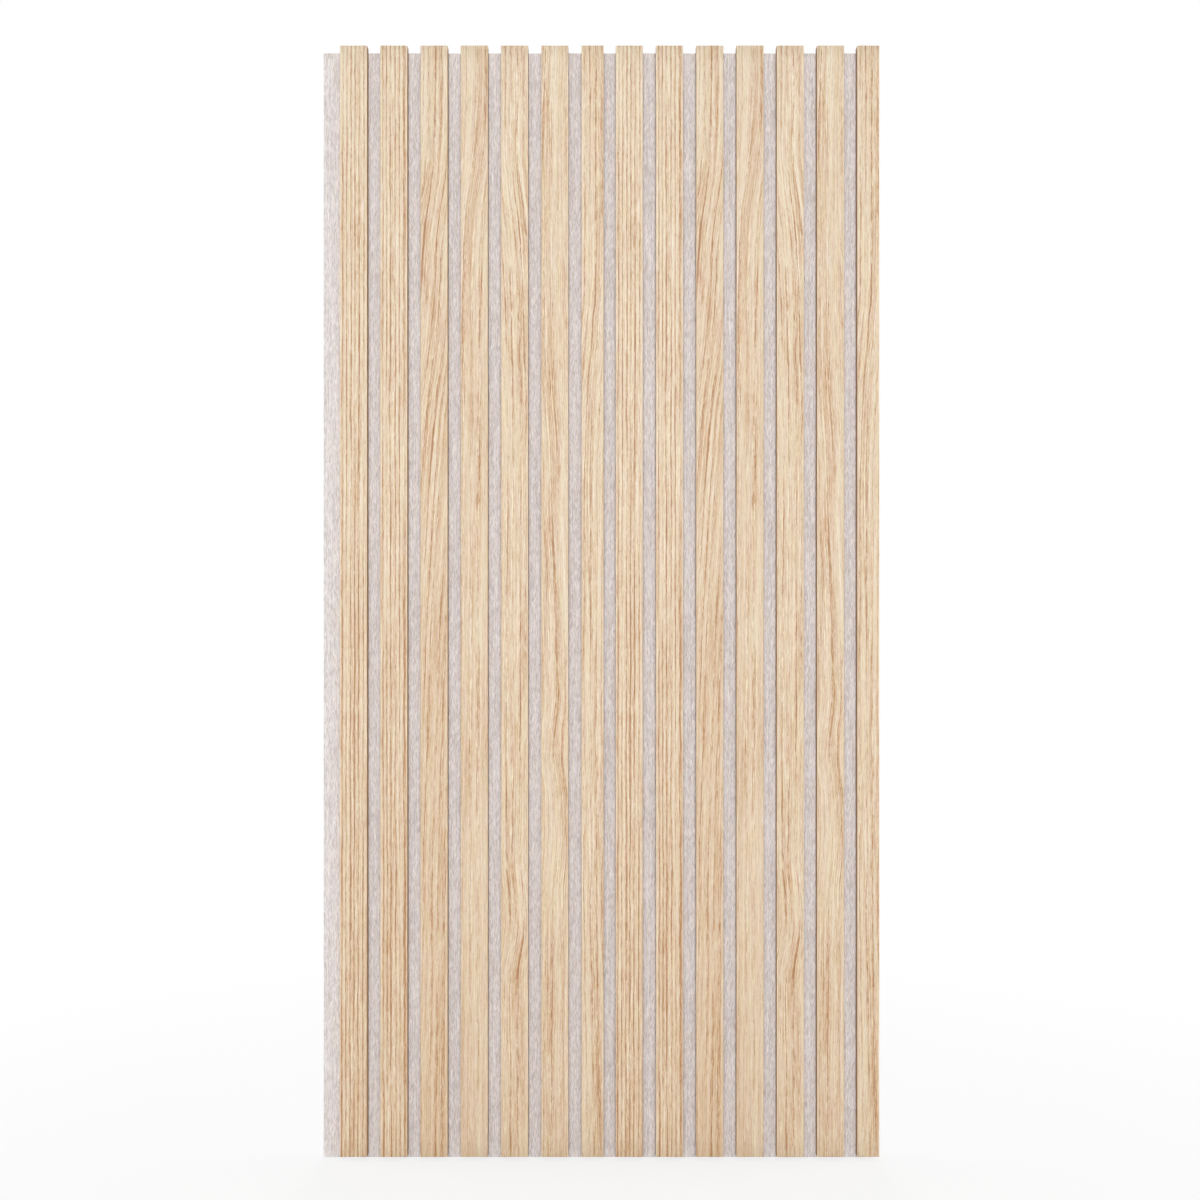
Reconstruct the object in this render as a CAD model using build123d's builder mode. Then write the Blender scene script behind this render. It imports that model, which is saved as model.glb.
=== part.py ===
from build123d import *

import os

# Wood wall panel: a row of upright oak-faced slats, glued to one sheet of stiff felt.
# It is modelled as it hangs. +Z is up, +X is to the right of a person who faces it, and the
# slats face -Y. The origin is the centre of the felt's back face, which lies on the wall.
# Sizes are in millimetres.

# Slats: two equal groups side by side, each of which ends in a narrower slat at its joint
group_count = 2
slats_in_group = 7
slat_width = 27.0
joint_slat_width = 22.0
slat_gap = 13.0
slat_thickness = 12.0
slat_length = 1104.0
front_arris_radius = 0.6

# Felt: one sheet as long as the slats, which is offset from them so that panels lap
felt_thickness = 9.0
left_ledge = 18.0
right_overhang = 6.0
top_overhang = 4.0

# Across the panel: each group repeats at the pitch at which a neighbouring panel would follow,
# so the gap at a joint is the bare ledge less the overhang that reaches over it.
slat_pitch = slat_width + slat_gap
group_slats_width = (slats_in_group - 1) * slat_pitch + joint_slat_width
group_pitch = left_ledge + group_slats_width - right_overhang
felt_width = group_count * group_pitch
felt_left = -felt_width / 2

# Up the panel: the slats stand above the felt's top edge, and stop as far short of its foot.
felt_length = slat_length
felt_foot = -felt_length / 2
slat_foot = felt_foot + top_overhang

# Through the panel: the felt's back is on the wall, and its front carries the slats.
felt_back = 0.0
felt_front = felt_back - felt_thickness


def save(part, label):
    """Names a finished piece and writes it to its own file."""
    part.label = label
    export_step(part, f"parts/{label}.step")


def make_felt_backing():
    """The felt board: square cut edges and one even thickness."""
    with BuildPart() as felt:
        with BuildSketch(Plane.XY.offset(felt_foot)):
            with Locations((felt_left, felt_back)):
                Rectangle(felt_width, felt_thickness, align=(Align.MIN, Align.MAX))
        extrude(amount=felt_length)
    save(felt.part, "felt_backing")


def make_slat(number, left, width):
    """One slat: glued flat to the felt, its two front long edges eased, its ends cut square."""
    with BuildPart() as slat:
        with BuildSketch(Plane.XY.offset(slat_foot)) as section:
            with Locations((left, felt_front)):
                Rectangle(width, slat_thickness, align=(Align.MIN, Align.MAX))
            front_corners = section.vertices().group_by(Axis.Y)[0]
            fillet(front_corners, radius=front_arris_radius)
        extrude(amount=slat_length)
    save(slat.part, f"slat_{number:02d}")


def make_slats():
    """Every slat, numbered from the left."""
    number = 0
    for group in range(group_count):
        first_left = felt_left + group * group_pitch + left_ledge
        for place in range(slats_in_group):
            number += 1
            ends_group = place == slats_in_group - 1
            width = joint_slat_width if ends_group else slat_width
            make_slat(number, first_left + place * slat_pitch, width)
    return number


os.makedirs("parts", exist_ok=True)
make_felt_backing()
slat_total = make_slats()

panel_width = felt_width + right_overhang
panel_height = felt_length + top_overhang
panel_depth = felt_thickness + slat_thickness
print(f"{slat_total} slats on felt {felt_width:g} x {felt_length:g} x {felt_thickness:g} mm")
print(f"panel {panel_width:g} x {panel_height:g} x {panel_depth:g} mm")
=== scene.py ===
# %% [markdown]
# # An oak slat wall panel
# The real object is a row of upright slats glued to one sheet of stiff grey felt. Each slat is a
# strip of brown fibreboard with a thin leaf of oak on its face. The panel's size and the place of
# every piece come from its CAD model, which is loaded as a fixed frame in metres. This lesson
# gives that frame its looks: oak grain, raw fibreboard, felt, soft light and a camera.

# %% Load the frame
import math

import bmesh
import bpy
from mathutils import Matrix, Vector
from mathutils import noise as perlin


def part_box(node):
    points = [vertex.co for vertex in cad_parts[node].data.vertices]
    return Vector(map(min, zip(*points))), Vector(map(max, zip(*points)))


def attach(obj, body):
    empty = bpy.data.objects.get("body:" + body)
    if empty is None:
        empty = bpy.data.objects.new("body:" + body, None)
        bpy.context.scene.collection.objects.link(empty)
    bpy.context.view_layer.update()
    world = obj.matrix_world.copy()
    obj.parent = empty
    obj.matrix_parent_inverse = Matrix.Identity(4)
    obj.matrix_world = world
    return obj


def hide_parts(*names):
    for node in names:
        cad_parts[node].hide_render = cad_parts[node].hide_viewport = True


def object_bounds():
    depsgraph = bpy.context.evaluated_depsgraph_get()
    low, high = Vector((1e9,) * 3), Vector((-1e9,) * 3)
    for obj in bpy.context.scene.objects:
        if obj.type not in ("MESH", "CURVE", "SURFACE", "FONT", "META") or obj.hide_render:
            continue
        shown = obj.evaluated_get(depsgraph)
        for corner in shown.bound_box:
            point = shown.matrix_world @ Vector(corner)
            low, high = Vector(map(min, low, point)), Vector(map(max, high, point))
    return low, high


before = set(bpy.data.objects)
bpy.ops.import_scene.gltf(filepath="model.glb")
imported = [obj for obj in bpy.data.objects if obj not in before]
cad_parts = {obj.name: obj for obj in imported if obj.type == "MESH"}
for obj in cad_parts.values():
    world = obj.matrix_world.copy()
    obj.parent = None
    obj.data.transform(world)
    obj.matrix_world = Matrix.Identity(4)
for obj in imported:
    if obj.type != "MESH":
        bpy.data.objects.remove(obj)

cad_low, cad_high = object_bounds()
slat_names = sorted(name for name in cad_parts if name.startswith("slat_"))
print(len(slat_names), "slats, panel", [round(v, 4) for v in cad_high - cad_low], "m")

# %% [markdown]
# ## Units and colours
# Colours are given as screen values from 0 to 255, but a shader works with linear light, so one
# small function converts them, by the usual formula for screens. A millimetre is a handier unit
# than a metre for wood grain.

# %% Units and colours
MM = 0.001
WHITE = (1.0, 1.0, 1.0, 1.0)


def tone(red, green, blue):
    """A screen colour, 0 to 255, as the linear colour that a shader socket takes."""
    def linear(level):
        share = level / 255
        return share / 12.92 if share <= 0.04045 else ((share + 0.055) / 1.055) ** 2.4
    return (linear(red), linear(green), linear(blue), 1.0)


print("a screen grey of 128 is", round(tone(128, 128, 128)[0], 3), "in linear light")

# %% [markdown]
# ## A short way to write nodes
# Node trees can be drawn by hand or written in code. In code, a few helpers keep them readable:
# each adds one node, feeds it numbers or other nodes' outputs, and returns its output.

# %% Node helpers
# A mix node has sockets for every kind of value. These are the numbers of those for colours.
MIX_SHARE, MIX_FIRST, MIX_SECOND, MIX_RESULT = 0, 6, 7, 2


class Tree:
    """A shader node tree. Any value given to it may be a number, a colour or another output."""

    def __init__(self, tree):
        self.tree = tree

    def feed(self, socket, value):
        """Links another node's output to the socket, or sets the socket's own value."""
        if isinstance(value, bpy.types.NodeSocket):
            self.tree.links.new(value, socket)
        else:
            socket.default_value = value

    def add(self, kind, feeds=(), **settings):
        """A new node; feeds are (input name or number, value) pairs."""
        node = self.tree.nodes.new(kind)
        for name, value in settings.items():
            setattr(node, name, value)
        for key, value in feeds:
            self.feed(node.inputs[key], value)
        return node

    def math(self, operation, *values, clamp=False):
        """One step of arithmetic. MULTIPLY_ADD is the first value times the second, plus the
        third."""
        feeds = list(enumerate(values))
        return self.add("ShaderNodeMath", feeds, operation=operation, use_clamp=clamp).outputs[0]

    def vector(self, x, y, z):
        return self.add("ShaderNodeCombineXYZ", enumerate((x, y, z))).outputs[0]

    def ease(self, value, low, high, out_low=0.0, out_high=1.0):
        """Runs smoothly from out_low to out_high as value runs from low to high."""
        feeds = list(enumerate((value, low, high, out_low, out_high)))
        node = self.add("ShaderNodeMapRange", feeds, interpolation_type="SMOOTHSTEP")
        return node.outputs[0]

    def noise(self, place, detail=2.0, roughness=0.5, distortion=0.0):
        """Smooth noise about 0.5, whose lumps are about one unit of place in size."""
        feeds = [("Vector", place), ("Scale", 1.0), ("Detail", detail)]
        feeds += [("Roughness", roughness), ("Distortion", distortion)]
        return self.add("ShaderNodeTexNoise", feeds).outputs["Fac"]

    def blend(self, share, first, second, **settings):
        """A colour that runs from first to second as share runs from 0 to 1."""
        feeds = [(MIX_SHARE, share), (MIX_FIRST, first), (MIX_SECOND, second)]
        node = self.add("ShaderNodeMix", feeds, data_type="RGBA", **settings)
        return node.outputs[MIX_RESULT]

    def tint(self, colour, share, at_one, at_zero=WHITE):
        """The colour multiplied by a tint that runs from at_zero to at_one with share."""
        return self.blend(1.0, colour, self.blend(share, at_zero, at_one), blend_type="MULTIPLY")

    def bump(self, height, distance, strength=1.0):
        """A normal that tilts as if the surface stood higher by distance where height is 1."""
        feeds = [("Height", height), ("Distance", distance), ("Strength", strength)]
        return self.add("ShaderNodeBump", feeds).outputs["Normal"]

    def group(self, tree, **values):
        """Places a node group; Ring_Spacing=3 feeds its input Ring Spacing."""
        node = self.add("ShaderNodeGroup", node_tree=tree)
        for name, value in values.items():
            self.feed(node.inputs[name.replace("_", " ")], value)
        return node.outputs


# %% [markdown]
# ## Groups and materials
# A node group is to shaders what a function is to code: made once, with named inputs and outputs,
# and placed wherever it is needed. All seven oak materials below place the same groups and differ
# only in the numbers they feed them.

# %% Group and material helpers
NUMBER = "NodeSocketFloat"
COLOUR = "NodeSocketColor"


def new_group(name, inputs, outputs):
    """An empty node group with named number inputs (name, default) and named outputs."""
    tree = bpy.data.node_groups.new(name, "ShaderNodeTree")
    for title, default in inputs:
        socket = tree.interface.new_socket(title, in_out="INPUT", socket_type=NUMBER)
        socket.default_value = default
    for title, kind in outputs:
        tree.interface.new_socket(title, in_out="OUTPUT", socket_type=kind)
    group = Tree(tree)
    return group, group.add("NodeGroupInput").outputs, group.add("NodeGroupOutput").inputs


def new_material(name):
    """A new material, its node tree and its shader."""
    material = bpy.data.materials.new(name)
    material.use_nodes = True
    tree = Tree(material.node_tree)
    return material, tree, material.node_tree.nodes["Principled BSDF"]


# %% [markdown]
# ## Where a point lies on its board
# Grain belongs to a board, so it needs the board's own coordinates: across the face, along the
# length and into the depth. Veneer is sliced from a log in sheets, and two that follow each other
# look almost the same. Each group of seven slats could be faced from one such sheet, because the
# figure repeats at the group's pitch. The node group wraps the position across the panel at that
# pitch, so the two slats that have the same place in their groups share one material.

# %% Board position
slat_low, slat_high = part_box("slat_01")
GROUP_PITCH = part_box("slat_08")[0].x - slat_low.x
SLAT_FOOT, SLAT_TOP = slat_low.z, slat_high.z
SLAT_LENGTH_MM = (SLAT_TOP - SLAT_FOOT) / MM
SLAT_DEPTH_MM = (slat_high.y - slat_low.y) / MM


def board_position_group():
    tree, given, out = new_group(
        "Board position", [("Slat Centre", 0.0)],
        [("Across", NUMBER), ("Depth", NUMBER), ("Below Top", NUMBER)])
    place = tree.add("ShaderNodeTexCoord").outputs["Object"]
    axes = tree.add("ShaderNodeSeparateXYZ", [(0, place)]).outputs
    offset = tree.math("SUBTRACT", axes["X"], given["Slat Centre"])
    wrapped = tree.math("WRAP", offset, GROUP_PITCH / 2, -GROUP_PITCH / 2)
    tree.feed(out["Across"], tree.math("DIVIDE", wrapped, MM))
    front = tree.math("SUBTRACT", axes["Y"], slat_low.y)
    tree.feed(out["Depth"], tree.math("DIVIDE", front, MM))
    below = tree.math("SUBTRACT", SLAT_TOP, axes["Z"])
    tree.feed(out["Below Top"], tree.math("DIVIDE", below, MM))
    return tree.tree


BOARD_POSITION = board_position_group()
print("figure repeats every", round(GROUP_PITCH / MM, 1), "mm")

# %% [markdown]
# ## Growth rings
# Oak figure is the log's yearly rings, seen where the saw or knife cut through them. A picture
# could be pasted on, but it would repeat and blur close up. Instead the rings are worked out: the
# distance from the log's heart, divided by the ring spacing, counts rings. Far from the heart the
# lines are close and evenly spaced; near it they spread into broad bands. The heart wanders
# sideways down the slat, which makes the lines slant, and noise makes them waver as real ones do.

# %% Ring group
# Each waver is a noise: how many of its waves fit in a millimetre across and along the slat, and
# how far it sways the grain from side to side, in millimetres.
SLOW_ACROSS, SLOW_ALONG, SLOW_SWAY = 0.03, 0.009, 6.0
QUICK_ACROSS, QUICK_ALONG, QUICK_SWAY = 0.15, 0.035, 1.5
# Good and bad years: how quickly they follow each other, by how many rings they can shift a line,
# and the layer of noise that they come from.
YEARS_RATE, YEARS_SHIFT, YEARS_LAYER = 0.6, 1.2, 3.0


def rings_group():
    tree, given, out = new_group(
        "Oak rings",
        [("Across", 0.0), ("Below Top", 0.0), ("Drift", 0.0), ("Heart Offset", -60.0),
         ("Cut Depth", 5.0), ("Ring Spacing", 4.0), ("Waver", 1.0), ("Leaf", 0.0)],
        [("Rings", NUMBER), ("Grain Across", NUMBER)])
    across, along, leaf = given["Across"], given["Below Top"], given["Leaf"]
    slow_place = tree.vector(
        tree.math("MULTIPLY", across, SLOW_ACROSS), tree.math("MULTIPLY", along, SLOW_ALONG), leaf)
    quick_place = tree.vector(
        tree.math("MULTIPLY", across, QUICK_ACROSS), tree.math("MULTIPLY", along, QUICK_ALONG),
        leaf)
    slow = tree.math("SUBTRACT", tree.noise(slow_place, 2.0), 0.5)
    quick = tree.math("SUBTRACT", tree.noise(quick_place, 1.0), 0.5)
    sway = tree.math("MULTIPLY_ADD", slow, SLOW_SWAY, tree.math("MULTIPLY", quick, QUICK_SWAY))
    wavered = tree.math("MULTIPLY_ADD", sway, given["Waver"], across)
    grain_across = tree.math("SUBTRACT", wavered, given["Drift"])
    tree.feed(out["Grain Across"], grain_across)
    # The distance from the heart, by the rule of Pythagoras, is counted in rings.
    aside = tree.math("SUBTRACT", grain_across, given["Heart Offset"])
    squares = tree.math(
        "ADD", tree.math("POWER", tree.math("ABSOLUTE", aside), 2.0),
        tree.math("POWER", given["Cut Depth"], 2.0))
    count = tree.math("DIVIDE", tree.math("SQRT", squares), given["Ring Spacing"])
    years = tree.noise(
        tree.vector(tree.math("MULTIPLY", count, YEARS_RATE), leaf, YEARS_LAYER), 1.0)
    tree.feed(out["Rings"], tree.math("MULTIPLY_ADD", years, YEARS_SHIFT, count))
    return tree.tree


OAK_RINGS = rings_group()
print(OAK_RINGS.name, "has", len(OAK_RINGS.nodes), "nodes")

# %% [markdown]
# ## Brown lines, fibres and pores
# Each spring oak grows a row of wide pores, which stain brown; the summer wood after it is dense,
# smooth and pale. So a ring starts sharply with a cluster of fine brown strokes, and fades into a
# plain stretch. Noise stretched along the grain makes the strokes, in a few sizes, and two of the
# sizes lean a little to either side, because strokes that all lie in line look like beads on a
# string. Where the rings are cut square they show as lines, so Regular brings out the line itself;
# where they are cut flat each is a broad soft band, and Banding gathers the strokes there. Relief
# is low in every open pore. Two more noises, Amber and Blush, are for changes of hue, since no two
# fibres have quite the same colour.

# %% Streak settings
# In a ring that runs from 0 to 1: where spring wood is in full, starts to fade and is gone.
SPRING_FULL, SPRING_FADES, SPRING_GONE = 0.12, 0.18, 0.55
# How far single fibres make a ring's start ragged, in rings.
RAGGED = 0.35
# Rings differ in strength. Each has its own place in a noise, which changes slowly down the slat.
WEAKEST_RING, STRONGEST_RING = 0.45, 1.2
RING_APART, RING_CHANGE = 1.37, 0.004
# The values of that noise where a ring is at its weakest and at its strongest.
WEAKEST_NOISE, STRONGEST_NOISE = 0.3, 0.65
# The amount of spring wood that is neither darker nor paler than plain wood, and a line's weight.
LINE_LEVEL, LINE_WEIGHT = 0.3, 0.8
# Long streaks and broad patches, and by how much regular wood has weaker streaks.
STREAK_WEIGHT, PATCH_WEIGHT = 1.3, 0.25
REGULAR_CALMS = 0.7
# How much banding calms the summer wood, and how much it livens the spring wood.
BANDING_CALMS, BANDING_LIVENS = 0.55, 1.3
# Shorter strands, down to single fibres: width and length in millimetres, the layer of noise that
# they come from, lean, and weight.
STRANDS = [
    (4.0, 120.0, 45.0, 0.0, 0.5),
    (0.6, 80.0, 9.0, 0.0, 1.5),
    (0.75, 17.0, 13.0, 0.03, 1.2),
    (0.75, 8.0, 25.0, -0.03, 0.9),
    (0.3, 3.5, 37.0, 0.0, 0.9),
]
# A pore opens where its noise passes these values. Pale grain has the fewest pores.
PORE_STARTS, PORE_OPEN = 0.09, 0.16
PALE_GRAIN, BROWN_GRAIN, FEWEST_PORES = -0.1, 0.25, 0.15
# The layers of noise that the hues come from, the weight of their finer strands, and the sum of
# noise at which a hue is in full.
HUE_LAYERS = {"Amber": 33.0, "Blush": 57.0}
FINE_HUE_WEIGHT, HUE_FULL = 1.6, 0.35
print(len(STRANDS), "sizes of short strands")


# %% Streak group
def streaks_group():
    tree, given, out = new_group(
        "Oak streaks",
        [("Rings", 0.0), ("Grain Across", 0.0), ("Below Top", 0.0), ("Leaf", 0.0),
         ("Regular", 0.5), ("Banding", 0.5)],
        [("Grain", NUMBER), ("Pores", NUMBER), ("Relief", NUMBER), ("Amber", NUMBER),
         ("Blush", NUMBER)])
    grain_across, along = given["Grain Across"], given["Below Top"]

    def strands(width, length, layer, lean=0.0):
        """Noise of strands this many millimetres wide and long, from -0.5 to 0.5. They lean by
        this many millimetres sideways for each millimetre down."""
        leaning = tree.math("MULTIPLY_ADD", along, lean, grain_across)
        place = tree.vector(
            tree.math("DIVIDE", leaning, width), tree.math("DIVIDE", along, length),
            tree.math("ADD", given["Leaf"], layer))
        return tree.math("SUBTRACT", tree.noise(place, 1.0), 0.5)

    # Spring wood: sharp where the ring starts, soft where it ends, ragged by single fibres.
    fibres = strands(width=0.6, length=22.0, layer=29.0)
    rings = tree.math("MULTIPLY_ADD", fibres, RAGGED, given["Rings"])
    turn = tree.math("FRACT", rings)
    rise = tree.ease(turn, 0.0, SPRING_FULL)
    fade = tree.ease(turn, SPRING_FADES, SPRING_GONE, 1.0, 0.0)
    own_place = tree.vector(
        tree.math("MULTIPLY", tree.math("FLOOR", rings), RING_APART),
        tree.math("MULTIPLY", along, RING_CHANGE), given["Leaf"])
    strength = tree.ease(
        tree.noise(own_place, 1.0), WEAKEST_NOISE, STRONGEST_NOISE, WEAKEST_RING, STRONGEST_RING)
    spring = tree.math("MULTIPLY", tree.math("MULTIPLY", rise, fade), strength)
    line = tree.math("MULTIPLY", tree.math("SUBTRACT", spring, LINE_LEVEL), given["Regular"])

    # Strands from long streaks to short strokes and single fibres, gathered in the spring wood.
    loose = tree.math("MULTIPLY_ADD", given["Regular"], -REGULAR_CALMS, 1.0)
    streaks = strands(width=1.1, length=160.0, layer=5.0)
    total = tree.math("MULTIPLY", streaks, tree.math("MULTIPLY", loose, STREAK_WEIGHT))
    for width, length, layer, lean, weight in STRANDS:
        total = tree.math("MULTIPLY_ADD", strands(width, length, layer, lean), weight, total)
    smooth = tree.math("MULTIPLY_ADD", given["Banding"], -BANDING_CALMS, 1.0)
    banded = tree.math("MULTIPLY", spring, given["Banding"])
    gather = tree.math("MULTIPLY_ADD", banded, BANDING_LIVENS, smooth)
    total = tree.math("MULTIPLY", total, gather)
    patches = strands(width=8.0, length=160.0, layer=17.0)
    total = tree.math("MULTIPLY_ADD", patches, PATCH_WEIGHT, total)
    grain = tree.math("MULTIPLY_ADD", line, LINE_WEIGHT, total)
    tree.feed(out["Grain"], grain)

    # Pores, most of them in the brown wood.
    pores = tree.ease(strands(width=0.32, length=5.0, layer=21.0), PORE_STARTS, PORE_OPEN)
    near = tree.ease(grain, PALE_GRAIN, BROWN_GRAIN, FEWEST_PORES, 1.0)
    tree.feed(out["Pores"], tree.math("MULTIPLY", pores, near))
    tree.feed(out["Relief"], tree.math("SUBTRACT", 1.0, pores))

    for name, layer in HUE_LAYERS.items():
        fine = strands(width=0.7, length=25.0, layer=layer)
        broad = strands(width=1.5, length=60.0, layer=layer)
        hue = tree.math("MULTIPLY_ADD", fine, FINE_HUE_WEIGHT, broad)
        tree.feed(out[name], tree.ease(hue, -HUE_FULL, HUE_FULL))
    return tree.tree


OAK_STREAKS = streaks_group()
print(OAK_STREAKS.name, "has", len(OAK_STREAKS.nodes), "nodes")

# %% [markdown]
# ## Oak colours
# One more group turns grain into colour, so that all leaves share one palette: near-white streaks
# of summer wood, cream, tan and the brown of old pores. Warmth tints a whole stretch of wood, which
# here is redder toward the foot, while Amber and Blush move single strands a little toward straw or
# honey, and olive or rose. Without them the wood looks printed in one ink. The group also puts out
# how rough the wood is, since open pores are duller than the wood between them.

# %% Colour group
# Each colour has the amount of brown at which it is reached.
OAK_COLOURS = [
    (0.0, (241, 233, 212)), (0.3, (231, 217, 192)), (0.6, (214, 189, 159)),
    (0.85, (200, 163, 128)), (1.0, (177, 132, 92)),
]
PORE_COLOUR = tone(143, 101, 66)
PORE_SHARE = 0.45
# A tint is multiplied with a colour, so 1.0 leaves that part of it as it is.
WARM_TINT = (0.98, 0.90, 0.79, 1.0)
STRAW, HONEY = (1.0, 1.0, 1.075, 1.0), (1.0, 0.99, 0.925, 1.0)
OLIVE, ROSE = (0.98, 1.01, 0.99, 1.0), (1.02, 0.985, 1.0, 1.0)
WOOD_ROUGHNESS, PORE_ROUGHENS = 0.52, 0.25


def oak_tones_group():
    tree, given, out = new_group(
        "Oak tones",
        [("Grain", 0.0), ("Pores", 0.0), ("Brownness", 0.4), ("Warmth", 0.0), ("Amber", 0.5),
         ("Blush", 0.5)],
        [("Colour", COLOUR), ("Roughness", NUMBER)])
    share = tree.math("ADD", given["Grain"], given["Brownness"])
    ramp = tree.add("ShaderNodeValToRGB", [("Fac", share)])
    stops = ramp.color_ramp.elements
    # A new ramp already has two stops, which take the first two colours.
    for index, (place, colour) in enumerate(OAK_COLOURS):
        stop = stops[index] if index < 2 else stops.new(place)
        stop.position = place
        stop.color = tone(*colour)
    pore_share = tree.math("MULTIPLY", given["Pores"], PORE_SHARE)
    colour = tree.blend(pore_share, ramp.outputs[0], PORE_COLOUR)
    colour = tree.tint(colour, given["Warmth"], WARM_TINT)
    colour = tree.tint(colour, given["Amber"], HONEY, STRAW)
    colour = tree.tint(colour, given["Blush"], ROSE, OLIVE)
    tree.feed(out["Colour"], colour)
    roughness = tree.math("MULTIPLY_ADD", given["Pores"], PORE_ROUGHENS, WOOD_ROUGHNESS)
    tree.feed(out["Roughness"], roughness)
    return tree.tree


OAK_TONES = oak_tones_group()
print(OAK_TONES.name, "has", len(OAK_TONES.nodes), "nodes")
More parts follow.
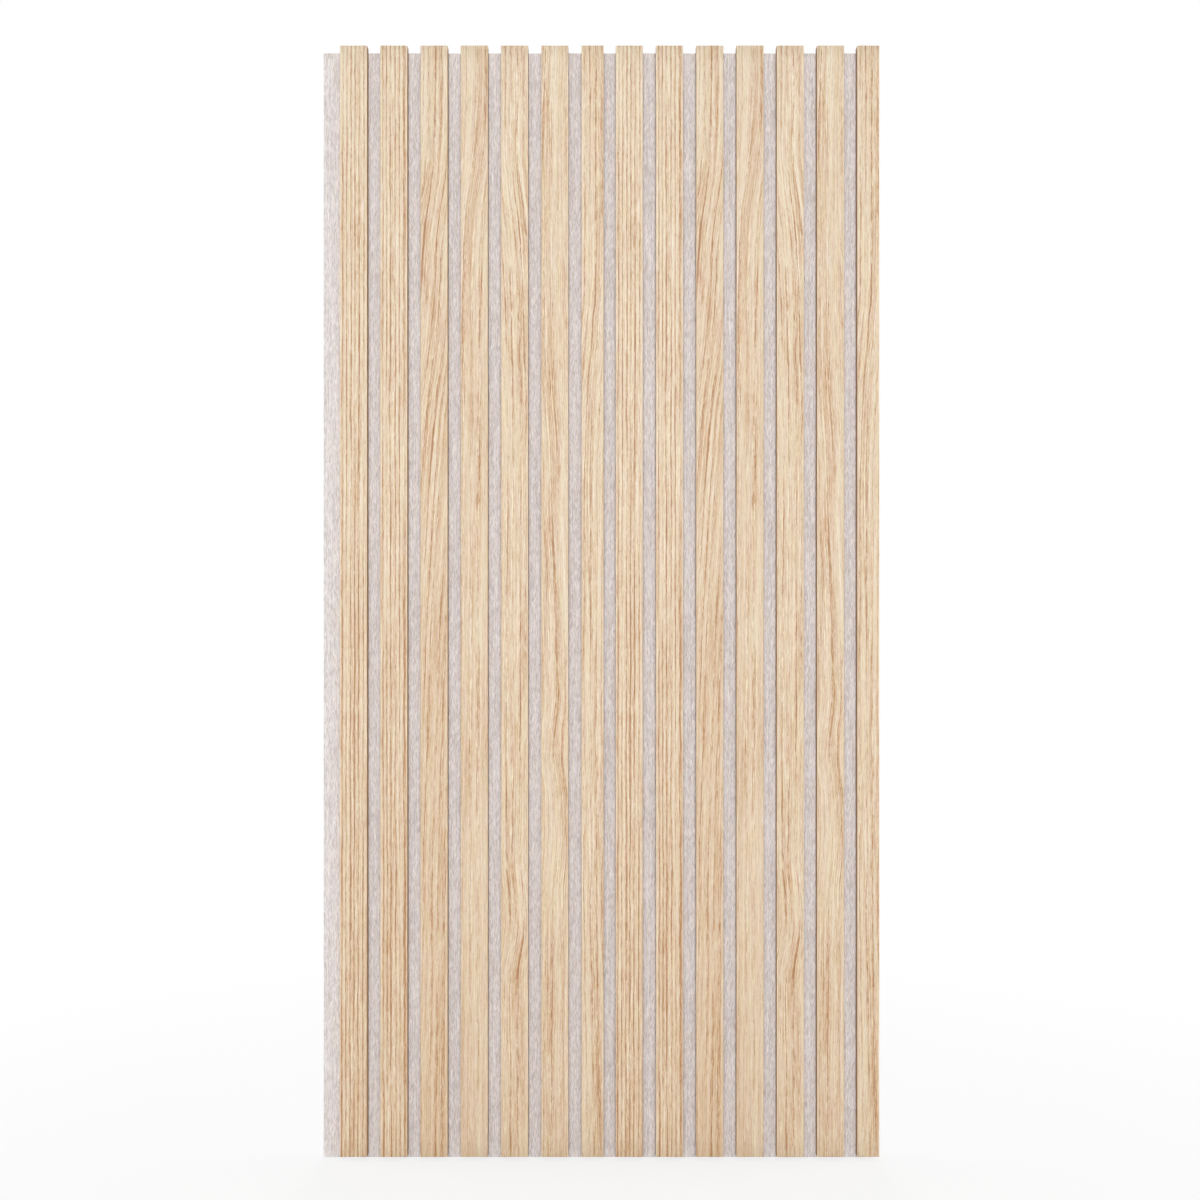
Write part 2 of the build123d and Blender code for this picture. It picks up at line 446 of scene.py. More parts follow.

# %% [markdown]
# ## What each leaf of oak looks like
# No two boards look alike, so each leaf has its own few numbers. The first two are cut nearly
# square to the rings and show straight lines. The others are cut flat and show slanting lines,
# broad brown figure and pale, plain stretches. A curve down the slat, through a few listed points,
# says how the grain leans. One or two more pairs of curves say where a streak of brown figure, or
# of pale plain wood, runs and how strongly it shows.

# %% Leaf settings
# spacing is the distance between rings, offset how far the log's heart lies to the side of the
# slat, and depth how far it lies behind the face, all in millimetres. regular and banding say how
# much the rings show as lines and as bands, waver how much they bend, contrast how much the grain
# stands out, and warmth how much browner and redder the foot is than the top.
# Each point of a curve is (millimetres below the slat's top, value). drift is how far the grain
# has moved sideways, in millimetres. A streak is its path, in millimetres from the slat's centre,
# and its strength, which is negative where the wood is paler and smoother than the rest.
LEAVES = [
    dict(spacing=4.2, offset=-88.6, depth=5, regular=0.88, banding=0.3, waver=0.25, contrast=0.75,
         warmth=0.8, drift=[(0, 0), (1104, -1.5)],
         streaks=[([(0, 6), (600, 2), (1104, -2)], [(0, 0.2), (450, 0.6), (1104, 0.6)])]),
    dict(spacing=4.3, offset=-70, depth=5, regular=0.9, banding=0.3, waver=0.35, contrast=0.7,
         warmth=0.8, drift=[(0, 0), (1104, 1)],
         streaks=[([(0, 0), (1104, -4)], [(0, 0.3), (250, 0.6), (500, 0.6), (1104, 0.5)])]),
    dict(spacing=6.5, offset=-60, depth=9, regular=0.55, banding=0.6, waver=0.4, contrast=0.6,
         warmth=0.7,
         drift=[(0, 0), (60, 0), (200, -12), (255, -15), (400, -31), (600, -43), (800, -49),
                (1104, -53)],
         streaks=[
             ([(0, 4), (60, 4), (100, 1), (150, -5), (200, -9), (255, -6), (400, -4), (600, 6),
               (1104, 8)],
              [(0, 0.8), (90, 0.9), (150, 0.7), (190, 1.0), (250, 0.9), (275, 0.1), (330, 0.1),
               (380, 0.5), (420, 0.4), (500, 0.2), (600, 0.6), (900, 0.5), (1104, 0.1)]),
             ([(0, -8), (100, -8), (150, 4), (270, 4), (330, 2), (450, -5), (1104, -5)],
              [(0, -0.6), (100, -0.4), (140, 0.3), (200, 0.6), (235, 0.2), (262, 0.9),
               (285, 0.6), (310, 0.0), (340, 0.3), (800, 0.3), (1104, 0.2)])]),
    dict(spacing=8.0, offset=-40, depth=14, regular=0.3, banding=0.7, waver=0.4, contrast=0.57,
         warmth=0.4, drift=[(0, 0), (30, 0), (185, -12), (300, -14), (1104, -16)],
         streaks=[
             ([(0, 10), (60, 8), (100, 5), (150, 0), (190, -3), (260, -7), (330, -8), (420, 0),
               (480, -1), (560, -6), (760, -4), (1104, 0)],
              [(0, 0.5), (60, 0.8), (130, 0.9), (170, 0.8), (200, 0.6), (280, 0.7), (340, 0.5),
               (470, 0.5), (520, 0.0), (600, 0.3), (650, 0.7), (720, 0.7), (760, 0.0),
               (1104, 0.1)]),
             ([(0, -4), (120, -6), (200, 7), (350, 6), (650, 5), (1104, 5)],
              [(0, -0.6), (110, -0.5), (215, -0.4), (240, 0.5), (340, 0.5), (420, 0.3),
               (480, -0.1), (520, -0.4), (600, -0.2), (640, 0.4), (720, 0.3), (770, -0.4),
               (1104, -0.2)])]),
    dict(spacing=6.0, offset=60, depth=10, regular=0.45, banding=0.6, waver=0.4, contrast=0.74,
         warmth=0.5,
         drift=[(0, 0), (70, 0), (130, 3), (200, 10), (300, 14), (400, 15), (800, 14), (870, 18),
                (930, 12), (1104, 13)],
         streaks=[
             ([(0, -2), (60, -2), (110, 1), (160, 5), (200, 8), (260, 10), (400, 7), (600, 8),
               (700, 0), (840, -4), (900, 4), (960, -3), (1104, 0)],
              [(0, 0.7), (120, 0.8), (190, 0.9), (230, 0.6), (300, 0.7), (350, 0.4), (420, 0.2),
               (520, 0.3), (600, 0.6), (640, 0.3), (760, 0.3), (830, 0.7), (880, 0.9),
               (960, 0.6), (1020, 0.2), (1104, 0.1)]),
             ([(0, 8), (60, 8), (150, -6), (300, -2), (350, -8), (1104, -8)],
              [(0, 0.4), (40, 0.6), (80, 0.0), (150, -0.3), (210, -0.3), (250, 0.5), (300, 0.5),
               (350, -0.6), (420, -0.6), (470, 0.3), (600, 0.3), (740, -0.2), (1104, 0.0)])]),
    dict(spacing=7.5, offset=-50, depth=12, regular=0.1, banding=0.4, waver=0.35, contrast=0.6,
         warmth=0.4,
         drift=[(0, 0), (100, -2), (250, -2), (400, 4), (470, 6), (545, 10), (640, 12), (700, 8),
                (760, 12), (850, 8), (1104, 6)],
         streaks=[
             ([(0, -8), (60, -6), (100, -4), (200, -9), (280, -6), (340, -3), (400, 4), (430, 0),
               (470, -6), (530, -4), (560, 1), (600, 4), (680, 0), (740, 8), (800, 8),
               (900, -6), (1104, -6)],
              [(0, 0.5), (40, 0.7), (90, 0.7), (120, 0.3), (200, 0.4), (270, 0.5), (340, 0.6),
               (390, 0.5), (440, 0.7), (490, 1.0), (540, 0.8), (570, 0.3), (620, 0.4),
               (700, 0.5), (760, 0.4), (860, 0.1), (900, 0.2), (930, 0.6), (990, 0.6),
               (1104, 0.2)]),
             ([(0, 4), (200, 3), (400, 8), (480, 5), (560, 9), (700, 4), (760, -3), (1104, 2)],
              [(0, -0.4), (150, -0.4), (260, -0.5), (330, -0.2), (400, -0.3), (550, -0.4),
               (620, 0.0), (690, 0.3), (730, -0.4), (850, -0.4), (900, -0.2), (1104, -0.2)])]),
    dict(spacing=5.5, offset=50, depth=9, regular=0.4, banding=0.55, waver=0.4, contrast=0.69,
         warmth=0.4,
         drift=[(0, 0), (200, 0), (280, -3), (380, -10), (480, -12), (700, -12), (1104, -8)],
         streaks=[
             ([(0, 5), (90, 6), (200, 5), (280, 3), (340, 0), (400, -4), (560, -3), (620, 5),
               (760, 6), (830, 0), (900, 1), (950, 3), (1104, 8)],
              [(0, 0.8), (65, 1.0), (95, 1.0), (140, 0.6), (220, 0.7), (370, 0.6), (430, 0.8),
               (560, 0.6), (620, 0.7), (700, 0.4), (760, 0.6), (840, 0.9), (1000, 0.9),
               (1104, 0.4)]),
             ([(0, -3), (200, -5), (300, -8), (400, 7), (600, 7), (700, -5), (1104, -5)],
              [(0, -0.3), (200, -0.3), (330, 0.2), (400, -0.5), (560, -0.6), (640, -0.5),
               (740, 0.2), (850, -0.4), (1000, -0.5), (1104, -0.5)])]),
]
print(len(LEAVES), "leaves with", sum(len(leaf["streaks"]) for leaf in LEAVES), "streaks")

# %% [markdown]
# ## A value that changes down the slat
# A float curve node draws a smooth line through chosen points, just like the curve that a painter
# would bend by hand. Its input and output run from 0 to 1, so the helper scales the points into
# that square and the result back out of it.

# %% Curve helper
# Room above and below the points, so that even a level curve has a height to scale by.
CURVE_MARGIN = 0.01


def curve_down(tree, below, points):
    """A value that changes down the slat through points of (millimetres below top, value)."""
    low = min(value for down, value in points) - CURVE_MARGIN
    high = max(value for down, value in points) + CURVE_MARGIN
    share = tree.math("DIVIDE", below, SLAT_LENGTH_MM, clamp=True)
    node = tree.add("ShaderNodeFloatCurve", [("Value", share)])
    curve = node.mapping.curves[0]
    # A new curve already has two points.
    for number, (down, value) in enumerate(points):
        place = (down / SLAT_LENGTH_MM, (value - low) / (high - low))
        point = curve.points[number] if number < 2 else curve.points.new(*place)
        point.location = place
        point.handle_type = "AUTO_CLAMPED"
    node.mapping.update()
    return tree.math("MULTIPLY_ADD", node.outputs[0], high - low, low)


# %% [markdown]
# ## The oak material
# The material finds the board position, runs the ring and streak groups with this leaf's numbers,
# and colours the result. Wood is browner toward the foot here. A pale warm highlight is painted
# along both rounded edges. The finish is a matt lacquer, so it reflects softly.

# %% Oak settings
# Each leaf takes its noise from its own place.
LEAF_APART = 3.1
# A streak is in full this close to its path and gone this far from it, in millimetres.
STREAK_CORE, STREAK_REACH = 0.5, 7.2
# How brown plain wood is, what a streak adds, and what the foot adds, along a gentle curve.
PLAIN_BROWN, STREAK_BROWN, FOOT_BROWN, FOOT_CURVE = 0.49, 0.16, 0.16, 0.7
TOP_WARMTH, FOOT_WARMTH = 0.05, 0.3
# How much the grain stands out in plain wood, what a streak adds, and the least there is.
PLAIN_LIVELY, STREAK_LIVELY, LEAST_LIVELY = 0.9, 0.6, 0.4
# A pale highlight is painted along each rounded edge. It starts and is in full this far from the
# slat's side, in millimetres, and has this share of the painted highlight colour there.
EDGE_HIGHLIGHT_STARTS, EDGE_HIGHLIGHT_FULL, EDGE_HIGHLIGHT_SHARE = 1.0, 0.4, 0.5
EDGE_HIGHLIGHT = tone(243, 217, 182)
PORE_DEPTH, PORE_STRENGTH = 0.05 * MM, 0.3
print("a streak of figure is", 2 * STREAK_REACH, "mm wide")


# %% Oak material
def oak_material(number, leaf):
    """The face of slat number, counted from the left in its group."""
    material, tree, shader = new_material(f"oak leaf {number}")
    low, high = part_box(f"slat_{number:02d}")
    seed = number * LEAF_APART
    place = tree.group(BOARD_POSITION, Slat_Centre=(low.x + high.x) / 2)
    across, below = place["Across"], place["Below Top"]
    drift = curve_down(tree, below, leaf["drift"])
    rings = tree.group(
        OAK_RINGS, Across=across, Below_Top=below, Drift=drift, Heart_Offset=leaf["offset"],
        Cut_Depth=leaf["depth"], Ring_Spacing=leaf["spacing"], Waver=leaf["waver"], Leaf=seed)
    streaks = tree.group(
        OAK_STREAKS, Rings=rings["Rings"], Grain_Across=rings["Grain Across"], Below_Top=below,
        Leaf=seed, Regular=leaf["regular"], Banding=leaf["banding"])
    # A streak of figure is strongest on its path, sways with the grain and fades beside it.
    swayed = tree.math("ADD", rings["Grain Across"], drift)
    figure = 0.0
    for path, strength in leaf["streaks"]:
        aside = tree.math("SUBTRACT", swayed, curve_down(tree, below, path))
        near = tree.ease(tree.math("ABSOLUTE", aside), STREAK_CORE, STREAK_REACH, 1.0, 0.0)
        figure = tree.math("MULTIPLY_ADD", near, curve_down(tree, below, strength), figure)
    # Colour: figure and the foot are browner, and figure is livelier too.
    foot_share = tree.math("DIVIDE", below, SLAT_LENGTH_MM)
    brownness = tree.math("MULTIPLY_ADD", figure, STREAK_BROWN, PLAIN_BROWN)
    browner = tree.math("POWER", foot_share, FOOT_CURVE)
    brownness = tree.math("MULTIPLY_ADD", browner, FOOT_BROWN * leaf["warmth"], brownness)
    warmth = tree.math("MULTIPLY_ADD", foot_share, FOOT_WARMTH * leaf["warmth"], TOP_WARMTH)
    lively = tree.math("MULTIPLY_ADD", figure, STREAK_LIVELY, PLAIN_LIVELY)
    lively = tree.math("MAXIMUM", lively, LEAST_LIVELY)
    lively = tree.math("MULTIPLY", lively, leaf["contrast"])
    grain = tree.math("MULTIPLY", streaks["Grain"], lively)
    tones = tree.group(
        OAK_TONES, Grain=grain, Pores=streaks["Pores"], Brownness=brownness, Warmth=warmth,
        Amber=streaks["Amber"], Blush=streaks["Blush"])
    # A pale warm highlight is painted along both rounded edges of the oak face.
    half = (high.x - low.x) / 2 / MM
    edge = tree.ease(
        tree.math("ABSOLUTE", across), half - EDGE_HIGHLIGHT_STARTS, half - EDGE_HIGHLIGHT_FULL, 0.0, EDGE_HIGHLIGHT_SHARE)
    tree.feed(shader.inputs["Base Color"], tree.blend(edge, tones["Colour"], EDGE_HIGHLIGHT))
    tree.feed(shader.inputs["Roughness"], tones["Roughness"])
    relief = tree.bump(streaks["Relief"], PORE_DEPTH, PORE_STRENGTH)
    tree.feed(shader.inputs["Normal"], relief)
    shader.inputs["Specular IOR Level"].default_value = 0.35
    return material


oak_leaves = [oak_material(number, leaf) for number, leaf in enumerate(LEAVES, 1)]
print(len(oak_leaves), "oak materials")

# %% [markdown]
# ## Raw fibreboard
# The slats' sides, ends and backs are uncoated fibreboard: wood fibres and glue, pressed hard.
# Close up it is finely speckled and faintly layered, and its two pressed skins are darker than its
# core. The depth through the board, from the position group, tells core from skin.

# %% Fibreboard material
SPECKLES_PER_METRE = 1600.0
# The layers' waves in each millimetre across, into and along the board.
LAYERS_ACROSS, LAYERS_DEEP, LAYERS_ALONG = 0.3, 2.5, 0.03
# The board's two colours, and the values of the mixed noise where each is reached.
BOARD_DARK, BOARD_PALE = tone(172, 142, 113), tone(203, 173, 142)
DARK_NOISE, PALE_NOISE = 0.35, 0.65
# A skin starts and is in full this far from the board's middle, in shares of its depth.
SKIN_STARTS, SKIN_FULL = 0.28, 0.48
SKIN_TINT = (0.84, 0.8, 0.76, 1.0)
BOARD_RELIEF, BOARD_STRENGTH = 0.08 * MM, 0.5


def fibreboard_material():
    material, tree, shader = new_material("fibreboard")
    place = tree.add("ShaderNodeTexCoord").outputs["Object"]
    speckle_place = tree.add(
        "ShaderNodeVectorMath", [(0, place), (3, SPECKLES_PER_METRE)], operation="SCALE")
    speckle = tree.noise(speckle_place.outputs[0], 4.0, 0.7)
    board = tree.group(BOARD_POSITION)
    layer = tree.noise(tree.vector(
        tree.math("MULTIPLY", board["Across"], LAYERS_ACROSS),
        tree.math("MULTIPLY", board["Depth"], LAYERS_DEEP),
        tree.math("MULTIPLY", board["Below Top"], LAYERS_ALONG)), 2.0)
    mixed = tree.math("MULTIPLY_ADD", layer, 0.5, tree.math("MULTIPLY", speckle, 0.5))
    colour = tree.blend(tree.ease(mixed, DARK_NOISE, PALE_NOISE), BOARD_DARK, BOARD_PALE)
    off_core = tree.math("ABSOLUTE", tree.math("SUBTRACT", board["Depth"], SLAT_DEPTH_MM / 2))
    skin = tree.ease(off_core, SKIN_STARTS * SLAT_DEPTH_MM, SKIN_FULL * SLAT_DEPTH_MM)
    tree.feed(shader.inputs["Base Color"], tree.tint(colour, skin, SKIN_TINT))
    tree.feed(shader.inputs["Normal"], tree.bump(mixed, BOARD_RELIEF, BOARD_STRENGTH))
    shader.inputs["Roughness"].default_value = 0.85
    shader.inputs["Specular IOR Level"].default_value = 0.2
    return material


FIBREBOARD = fibreboard_material()
print(FIBREBOARD.name, "has", len(FIBREBOARD.node_tree.nodes), "nodes")

# %% [markdown]
# ## The section of a slat
# A slat could stay a plain box from the CAD model, but its face and its sides are different
# materials that meet at the rounded front edge. So each is built again as a closed skin, and that
# starts with one outline of its section. The front and its two rounded edges will be oak, and the
# rest fibreboard.

# %% Slat section
# The radius of the rounded edges, and the steps round an edge and across the face.
ARRIS = 0.6 * MM
ARRIS_STEPS = 5
FACE_STEPS = 9


def section(low, high):
    """The slat's outline seen from above, from the back left corner round the front, and the
    numbers of the first and last of its points that belong to the oak leaf."""
    back = high.y
    front = low.y
    shares = [step / ARRIS_STEPS for step in range(ARRIS_STEPS + 1)]

    def rounded(side, inward, share):
        """A point on a rounded edge, from the slat's side at share 0 to its front at share 1."""
        angle = math.pi / 2 * share
        x = side + inward * ARRIS * (1 - math.cos(angle))
        return (x, front + ARRIS * (1 - math.sin(angle)))

    points = [(low.x, back), (low.x, front + (back - front) / 2)]
    first_oak = len(points)
    points += [rounded(low.x, 1, share) for share in shares]
    inner = high.x - low.x - 2 * ARRIS
    points += [(low.x + ARRIS + inner * step / FACE_STEPS, front) for step in range(1, FACE_STEPS)]
    points += [rounded(high.x, -1, share) for share in reversed(shares)]
    last_oak = len(points) - 1
    points += [(high.x, front + (back - front) / 2), (high.x, back)]
    return points, first_oak, last_oak


print("a slat's section has", len(section(slat_low, slat_high)[0]), "points")

# %% [markdown]
# ## One slat
# The outline is repeated up the length and its rows are joined into faces. The sawn ends show the
# thin oak leaf in front of the board, and their corners are eased by a quarter of a millimetre so
# that they catch the light. Only the oak face with its rounded edges is shaded smooth. Every edge
# beside a flat face is marked sharp, or the renderer would blend the light of the face into that
# of the end.

# %% Slat mesh
END_EASING = 0.25 * MM
LENGTH_STEPS = 60


def build_slat(name):
    low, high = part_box(name)
    points, first_oak, last_oak = section(low, high)
    middle = (low.x + high.x) / 2
    narrow = 1 - 2 * END_EASING / (high.x - low.x)
    eased = [(middle + (x - middle) * narrow, max(y, low.y + END_EASING)) for x, y in points]
    straight = high.z - low.z - 2 * END_EASING
    body = bmesh.new()
    rows = [[body.verts.new((x, y, low.z)) for x, y in eased]]
    for step in range(LENGTH_STEPS + 1):
        z = low.z + END_EASING + straight * step / LENGTH_STEPS
        rows.append([body.verts.new((x, y, z)) for x, y in points])
    rows.append([body.verts.new((x, y, high.z)) for x, y in eased])
    for lower, upper in zip(rows, rows[1:]):
        for n in range(len(points)):
            following = (n + 1) % len(points)
            face = body.faces.new((lower[n], lower[following], upper[following], upper[n]))
            is_oak = first_oak <= n < last_oak
            face.material_index = 0 if is_oak else 1
            face.smooth = is_oak
    for row in (rows[0], rows[-1]):
        oak_end = body.faces.new(row[first_oak:last_oak + 1])
        oak_end.material_index = 0
        board_end = body.faces.new(row[:first_oak + 1] + row[last_oak:])
        board_end.material_index = 1
    bmesh.ops.recalc_face_normals(body, faces=body.faces)
    for edge in body.edges:
        edge.smooth = all(face.smooth for face in edge.link_faces)
    mesh = bpy.data.meshes.new(name + "_oak_faced")
    body.to_mesh(mesh)
    body.free()
    return mesh


slats = []
for index, name in enumerate(slat_names):
    mesh = build_slat(name)
    mesh.materials.append(oak_leaves[index % len(LEAVES)])
    mesh.materials.append(FIBREBOARD)
    piece = bpy.data.objects.new(name + "_oak_faced", mesh)
    bpy.context.scene.collection.objects.link(piece)
    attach(piece, "root")
    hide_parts(name)
    slats.append(piece)
print(len(slats), "slats of", len(slats[0].data.polygons), "faces")

# %% [markdown]
# ## Felt flecks
# The backing is pressed polyester felt: short fibres laid every way, but mostly along the sheet,
# then needled flat. Modelling single fibres would take millions of hairs, and from a step away
# they only show as light and dark flecks a few millimetres long. So a noise is stretched into
# flecks and turned a little, in a group that takes their size and lean.

# %% Felt fleck group
def felt_flecks_group():
    tree, given, out = new_group(
        "Felt flecks",
        [("Width", 1.0), ("Length", 6.0), ("Lean", 0.2), ("Layer", 0.0)],
        [("Flecks", NUMBER)])
    place = tree.add("ShaderNodeTexCoord").outputs["Object"]
    turned = tree.add(
        "ShaderNodeVectorRotate", [("Vector", place), ("Angle", given["Lean"])],
        rotation_type="Y_AXIS").outputs[0]
    axes = tree.add("ShaderNodeSeparateXYZ", [(0, turned)]).outputs
    across = tree.math("DIVIDE", tree.math("DIVIDE", axes["X"], MM), given["Width"])
    depth = tree.math("DIVIDE", tree.math("DIVIDE", axes["Y"], MM), given["Width"])
    along = tree.math("DIVIDE", tree.math("DIVIDE", axes["Z"], MM), given["Length"])
    depth = tree.math("ADD", depth, given["Layer"])
    flecks = tree.noise(
        tree.vector(across, depth, along), detail=2.0, roughness=0.6, distortion=0.3)
    tree.feed(out["Flecks"], flecks)
    return tree.tree


FELT_FLECKS = felt_flecks_group()
print(FELT_FLECKS.name, "has", len(FELT_FLECKS.nodes), "nodes")

# %% [markdown]
# ## The felt's colour
# Two sets of flecks that lean left and right cross each other as the fibres do. Finer, longer and
# broader ones break them up, and the finest are single hairs that lie across the rest. A few dark
# fibres and two weak changes of hue keep the grey from looking like paint. Felt has no gloss, and
# a little sheen stands for the hairs that stand up from it and catch the light.

# %% Felt material
FELT_DARK, FELT_PALE = tone(197, 188, 185), tone(244, 239, 238)
# The sum of all flecks that is darkest, and the one that is palest.
FLECKS_DARK, FLECKS_PALE = 0.61, 1.39
FINE_WEIGHT, STRIPE_WEIGHT, PATCHY_WEIGHT, HAIR_WEIGHT = 0.4, 0.65, 0.3, 0.35
# A dark fibre starts and is in full at these values of its noise, and has this share there.
DARK_FIBRE = tone(172, 160, 160)
DARK_FIBRE_STARTS, DARK_FIBRE_FULL, DARK_FIBRE_SHARE = 0.62, 0.72, 0.5
# Weak tints in pairs. Where a noise is high the felt has the first of a pair, and where it is low
# the second.
HUE_LOW, HUE_HIGH = 0.36, 0.64
COOL, PINK = (0.981, 1.009, 1.008, 1.0), (1.019, 0.991, 0.992, 1.0)
BLUE, CREAM = (0.993, 1.0, 1.035, 1.0), (1.007, 1.0, 0.965, 1.0)
FELT_BUMP, FELT_BUMP_STRENGTH = 0.3 * MM, 0.5


def felt_material():
    material, tree, shader = new_material("pressed felt")

    def fleck(width, length, lean, layer):
        """Flecks of a width and length in millimetres and a lean in radians."""
        return tree.group(
            FELT_FLECKS, Width=width, Length=length, Lean=lean, Layer=layer)["Flecks"]

    crossing = tree.math("ADD", fleck(0.75, 6.5, 0.14, 0.0), fleck(0.75, 6.5, -0.16, 40.0))
    fine = fleck(0.3, 3.0, 0.04, 80.0)
    stripes = fleck(1.3, 60.0, 0.0, 120.0)
    patches = fleck(7.0, 14.0, 0.0, 130.0)
    hairs = fleck(0.13, 1.6, 0.5, 280.0)
    total = crossing
    for flecks, weight in ((fine, FINE_WEIGHT), (stripes, STRIPE_WEIGHT),
                           (patches, PATCHY_WEIGHT), (hairs, HAIR_WEIGHT)):
        total = tree.math("MULTIPLY_ADD", tree.math("SUBTRACT", flecks, 0.5), weight, total)
    colour = tree.blend(tree.ease(total, FLECKS_DARK, FLECKS_PALE), FELT_DARK, FELT_PALE)
    dark = tree.ease(
        fleck(0.5, 6.0, -0.3, 240.0), DARK_FIBRE_STARTS, DARK_FIBRE_FULL, 0.0, DARK_FIBRE_SHARE)
    colour = tree.blend(dark, colour, DARK_FIBRE)
    cool = tree.ease(fleck(0.9, 22.0, 0.03, 160.0), HUE_LOW, HUE_HIGH)
    colour = tree.tint(colour, cool, COOL, PINK)
    blue = tree.ease(fleck(0.9, 30.0, -0.02, 200.0), HUE_LOW, HUE_HIGH)
    colour = tree.tint(colour, blue, BLUE, CREAM)
    tree.feed(shader.inputs["Base Color"], colour)
    relief = tree.math("ADD", crossing, tree.math("MULTIPLY", fine, 0.5))
    tree.feed(shader.inputs["Normal"], tree.bump(relief, FELT_BUMP, FELT_BUMP_STRENGTH))
    shader.inputs["Roughness"].default_value = 0.95
    shader.inputs["Specular IOR Level"].default_value = 0.1
    shader.inputs["Sheen Weight"].default_value = 0.15
    return material


FELT = felt_material()
print(FELT.name, "has", len(FELT.node_tree.nodes), "nodes")

# %% [markdown]
# ## The felt board
# The board is a flat closed sheet whose surface rises and falls by a fraction of a millimetre,
# because needling never presses it quite even, and a knife never cuts felt quite straight. A fine
# grid is moved by smooth noise, and always inwards, so that it stays inside the size of the real
# sheet.

# %% Felt board helpers
# The grid's cells, how deep the surface dips at most, and how large its lumps are.
FELT_CELL = 5 * MM
FELT_RELIEF = 0.35 * MM
LUMP_SIZE = 16 * MM
# How far a cut edge wanders inwards at most, and the layer of noise that it takes.
CUT_WANDER = 0.4 * MM
CUT_LAYER = 9.0


def lumps(x, y, z):
    """Smooth noise from 0 to 1, whose lumps have the felt's lump size."""
    return 0.5 + 0.5 * perlin.noise(Vector((x, y, z)) / LUMP_SIZE)


def cut(place, lowest, highest, along):
    """Brings a point on the edge inwards, by an amount that changes along the edge."""
    inwards = CUT_WANDER * lumps(along, lowest, CUT_LAYER)
    return min(max(place, lowest + inwards), highest - inwards)


def rim(skin):
    """The points round the edge of a grid of points, in order."""
    left_side = [line[0] for line in skin]
    right_side = [line[-1] for line in skin]
    return skin[0][:-1] + right_side[:-1] + skin[-1][:0:-1] + left_side[:0:-1]


# %% Felt board mesh
def build_felt(low, high):
    columns = round((high.x - low.x) / FELT_CELL)
    rows = round((high.z - low.z) / FELT_CELL)
    body = bmesh.new()
    skins = []
    for y, inward, side in ((low.y, 1, 0.0), (high.y, -1, 1.0)):
        skin = []
        for row in range(rows + 1):
            z = low.z + (high.z - low.z) * row / rows
            line = []
            for column in range(columns + 1):
                x = low.x + (high.x - low.x) * column / columns
                dip = FELT_RELIEF * lumps(x, side, z)
                place = (cut(x, low.x, high.x, z), y + inward * dip, cut(z, low.z, high.z, x))
                line.append(body.verts.new(place))
            skin.append(line)
        skins.append(skin)
        for lower, upper in zip(skin, skin[1:]):
            for n in range(columns):
                body.faces.new((lower[n], lower[n + 1], upper[n + 1], upper[n]))
    front, back = (rim(skin) for skin in skins)
    for n, vertex in enumerate(front):
        following = (n + 1) % len(front)
        body.faces.new((vertex, front[following], back[following], back[n]))
    bmesh.ops.recalc_face_normals(body, faces=body.faces)
    mesh = bpy.data.meshes.new("felt_board")
    body.to_mesh(mesh)
    body.free()
    return mesh


felt_low, felt_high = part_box("felt_backing")
felt_mesh = build_felt(felt_low, felt_high)
felt_mesh.materials.append(FELT)
felt = bpy.data.objects.new("felt_board", felt_mesh)
bpy.context.scene.collection.objects.link(felt)
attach(felt, "root")
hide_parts("felt_backing")
print("felt board of", len(felt_mesh.polygons), "faces")

# %% [markdown]
# ## Floor
# The panel stands on a pale floor. As the camera sees the floor, most of its colour is a plain
# white glow, and further out all of it, so that it runs into the white background without a
# horizon. Close to the panel a part of its colour is still ordinary paint, which takes a faint
# shadow. The soft light that the floor throws back onto the panel always comes from the paint.

# %% Floor
FLOOR_REACH = 30.0
# The glow's share of the floor, and the distances from the panel's centre where it starts to grow
# and is all there is, in metres.
NEAR_GLOW, NEAR_FLOOR, FAR_FLOOR = 0.8, 0.5, 1.3


def sees_background(tree):
    """1 for a ray that the camera or a gloss sends out to look, and 0 for one that lights."""
    rays = tree.add("ShaderNodeLightPath").outputs
    return tree.math("MAXIMUM", rays["Is Camera Ray"], rays["Is Glossy Ray"])


def floor_material():
    material, tree, shader = new_material("pale floor")
    shader.inputs["Base Color"].default_value = tone(240, 240, 240)
    shader.inputs["Roughness"].default_value = 0.9
    shader.inputs["Specular IOR Level"].default_value = 0.0
    glow = tree.add("ShaderNodeEmission", [("Color", WHITE), ("Strength", 1.0)])
    place = tree.add("ShaderNodeTexCoord").outputs["Object"]
    far = tree.add("ShaderNodeVectorMath", [(0, place)], operation="LENGTH").outputs["Value"]
    share = tree.ease(far, NEAR_FLOOR, FAR_FLOOR, NEAR_GLOW, 1.0)
    share = tree.math("MULTIPLY", sees_background(tree), share)
    mixed = tree.add(
        "ShaderNodeMixShader", [(0, share), (1, shader.outputs[0]), (2, glow.outputs[0])])
    output = material.node_tree.nodes["Material Output"]
    tree.feed(output.inputs["Surface"], mixed.outputs[0])
    return material


corners = [(x, y, cad_low.z) for x, y in (
    (-FLOOR_REACH, -FLOOR_REACH), (FLOOR_REACH, -FLOOR_REACH),
    (FLOOR_REACH, FLOOR_REACH), (-FLOOR_REACH, FLOOR_REACH))]
floor_mesh = bpy.data.meshes.new("floor")
floor_mesh.from_pydata(corners, [], [(0, 1, 2, 3)])
floor_mesh.materials.append(floor_material())
floor = bpy.data.objects.new("floor", floor_mesh)
bpy.context.scene.collection.objects.link(floor)
print("floor at", round(cad_low.z, 4), "m")

# %% [markdown]
# ## Background
# The background is white because the world shows white to the camera and in reflections, at
# strength 1, and not because of more light. As light on a surface the same world is only a dim
# white sky, which fills the shadows.

# %% World
AMBIENT = 0.22

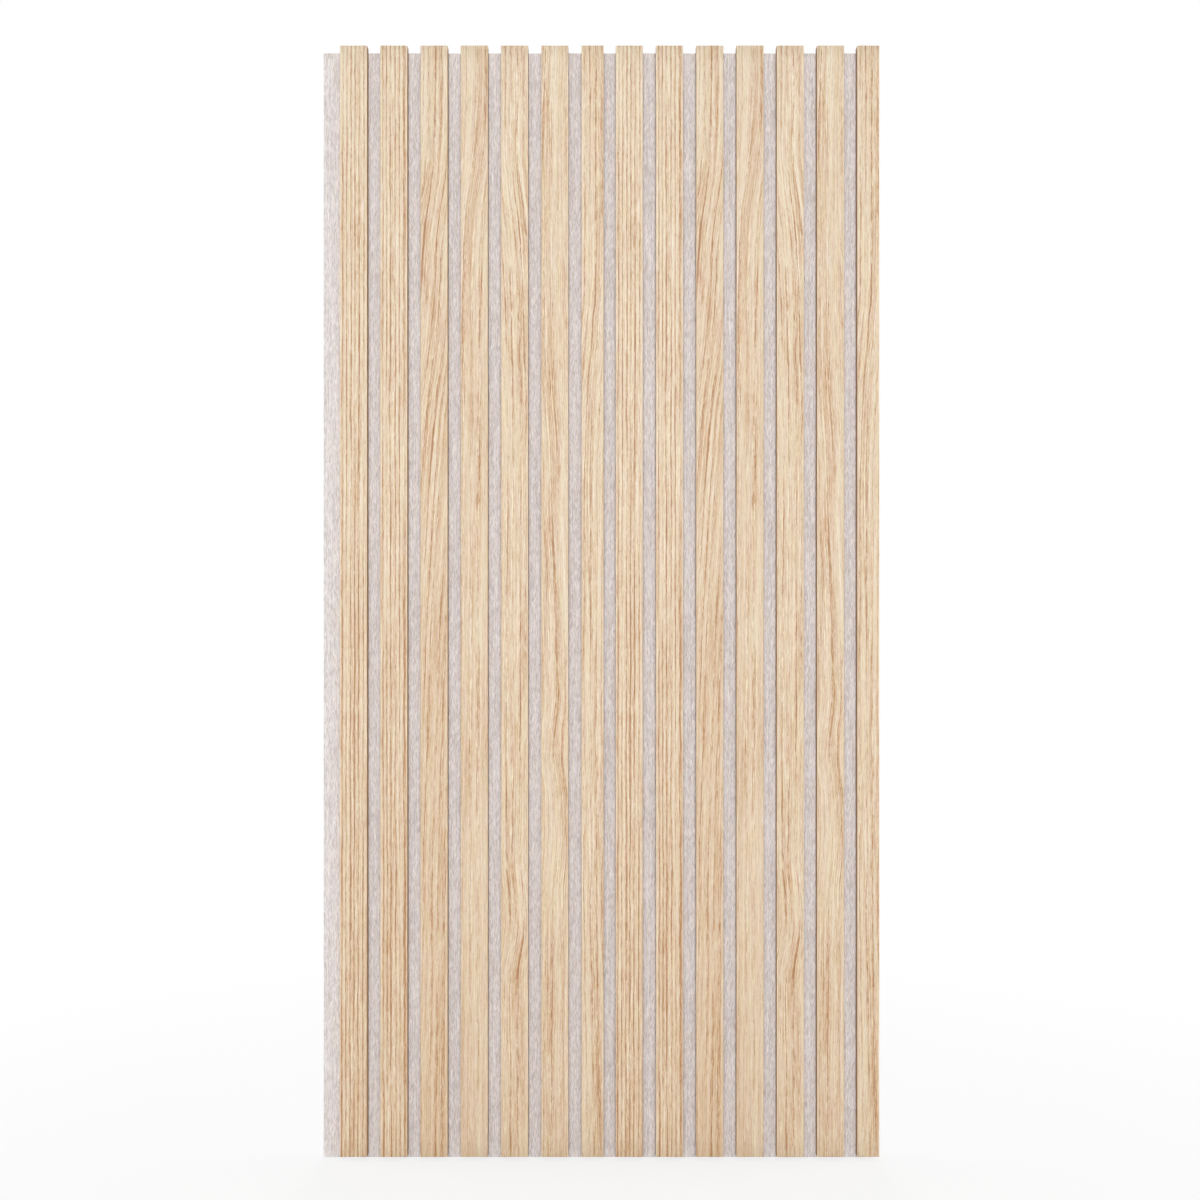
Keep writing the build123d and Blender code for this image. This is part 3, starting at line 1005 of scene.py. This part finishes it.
world = bpy.data.worlds.new("studio")
bpy.context.scene.world = world
world.use_nodes = True
world_tree = Tree(world.node_tree)
background = world.node_tree.nodes["Background"]
strength = world_tree.math("MULTIPLY_ADD", sees_background(world_tree), 1.0 - AMBIENT, AMBIENT)
world_tree.feed(background.inputs["Strength"], strength)
background.inputs["Color"].default_value = WHITE
print("sky lights surfaces at", AMBIENT, "and shows at 1")

# %% [markdown]
# ## Lamps
# Large square lamps give soft light. The strongest stands in front, and weaker ones at the sides,
# behind and above, so that no side of the panel goes dark. The lamps at the sides stand behind the
# slats' faces: further forward they would light the bare strip of felt more than the grooves.
# Together the lamps light the panel's face about as much as its colours assume, and the Standard
# view shows those colours without changing them.

# %% Lamps
# Name, place, side in metres and power in watts. Each looks at the panel's centre.
LAMPS = [
    ("front key", (0.0, -4.0, 0.4), 1.6, 97.0),
    ("back fill", (0.0, 4.0, 1.2), 1.8, 85.0),
    ("left fill", (-4.0, 0.9, 0.6), 1.8, 68.0),
    ("right fill", (4.0, 0.9, 0.6), 1.8, 68.0),
    ("overhead", (0.0, 0.0, 4.0), 2.4, 42.0),
]

for name, place, side, power in LAMPS:
    light = bpy.data.lights.new(name, "AREA")
    light.shape = "SQUARE"
    light.size = side
    light.energy = power
    lamp = bpy.data.objects.new(name, light)
    lamp.location = place
    lamp.rotation_mode = "QUATERNION"
    lamp.rotation_quaternion = Vector(place).to_track_quat("Z", "Y")
    bpy.context.scene.collection.objects.link(lamp)

bpy.context.scene.view_settings.view_transform = "Standard"
print(len(LAMPS), "lamps of", sum(power for name, place, side, power in LAMPS), "W in all")

# %% [markdown]
# ## Camera
# The photograph looks level and straight at the panel. Where the slats' ends fall in its frame
# gives the scale at their face and the point that the lens looks at, so the camera is worked out
# from those four places and the frame's own sizes.

# %% Camera
# The photograph's side, and where the slats' ends and the row's two outer sides fall in it, in
# its own pixels.
PHOTO_SIDE = 1200
ROW_SLAT_TOP, ROW_SLAT_FOOT = 45.5, 1157.0
COLUMN_FIRST_SLAT, COLUMN_LAST_SLAT = 340.0, 879.3
# From the slats' faces to the lens, in metres.
CAMERA_DISTANCE = 1.8

slats_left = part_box(slat_names[0])[0].x
slats_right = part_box(slat_names[-1])[1].x
slats_front = slat_low.y
pixel = (SLAT_TOP - SLAT_FOOT) / (ROW_SLAT_FOOT - ROW_SLAT_TOP)
column_off = (COLUMN_FIRST_SLAT + COLUMN_LAST_SLAT) / 2 - PHOTO_SIDE / 2
row_off = (ROW_SLAT_TOP + ROW_SLAT_FOOT) / 2 - PHOTO_SIDE / 2
look_x = (slats_left + slats_right) / 2 - pixel * column_off
look_z = (SLAT_TOP + SLAT_FOOT) / 2 + pixel * row_off
camera_data = bpy.data.cameras.new("camera")
camera_data.sensor_width = 36.0
camera_data.lens = camera_data.sensor_width * CAMERA_DISTANCE / (PHOTO_SIDE * pixel)
camera = bpy.data.objects.new("camera", camera_data)
camera.location = (look_x, slats_front - CAMERA_DISTANCE, look_z)
camera.rotation_euler = (math.pi / 2, 0, 0)
bpy.context.scene.collection.objects.link(camera)
bpy.context.scene.camera = camera
print("a pixel is", round(pixel / MM, 4), "mm, lens", round(camera_data.lens, 2), "mm")
